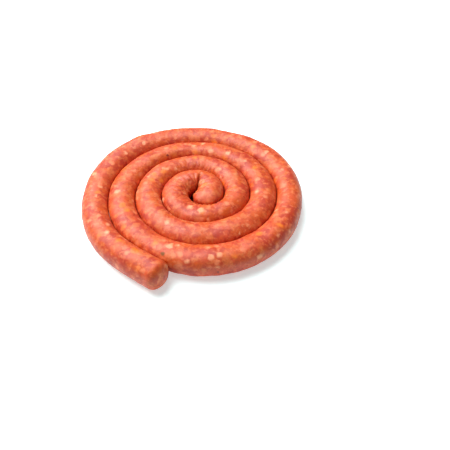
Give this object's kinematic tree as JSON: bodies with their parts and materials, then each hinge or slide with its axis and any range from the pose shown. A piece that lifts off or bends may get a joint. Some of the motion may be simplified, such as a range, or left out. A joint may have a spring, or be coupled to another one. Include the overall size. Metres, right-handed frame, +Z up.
{
  "type": "coiled raw sausage",
  "caption": "Long raw minced-meat sausage in a thin natural casing, wound flat into a tight spiral coil with blunt ends.",
  "frame": {"origin": "on the resting surface, under the middle of the coil's outline", "axes": "+Z up through the coil's flat thickness; the outer end lies to the front left, at -X and -Y, and the sausage winds inwards clockwise seen from above"},
  "size_m": [0.18, 0.1822, 0.023],
  "materials": {
    "casing": "moist translucent casing over coarse red mince with pale fat"
  },
  "bodies": {
    "root": {"sausage": "casing"}
  },
  "joints": []
}
